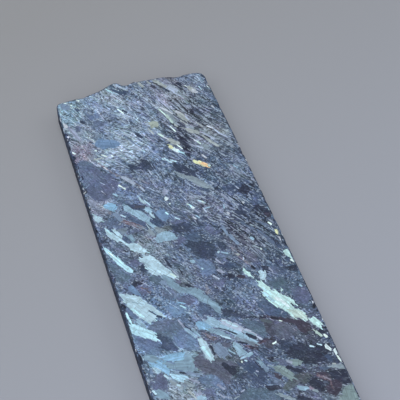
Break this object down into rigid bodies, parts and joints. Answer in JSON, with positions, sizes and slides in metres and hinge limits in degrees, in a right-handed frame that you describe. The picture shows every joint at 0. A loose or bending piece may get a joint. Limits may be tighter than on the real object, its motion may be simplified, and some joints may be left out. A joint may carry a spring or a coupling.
{
  "type": "nuummite slab",
  "caption": "Flat slab of dark slate-blue rock with shining crystal laths, sawn along both sides and broken across the ends, polished on its upper face.",
  "frame": {"origin": "middle of the slab, on the plane of its sawn back, which it lies on", "axes": "+Z out of the polished face, upward; +Y along the slab from its foot to its narrower head; +X across it"},
  "size_m": [0.0522, 0.1405, 0.007],
  "materials": {
    "rock": "polished slate-blue rock with pale ice-blue, teal and gold crystal laths; rough dark edges"
  },
  "bodies": {
    "root": {"slab": "rock"}
  },
  "joints": []
}
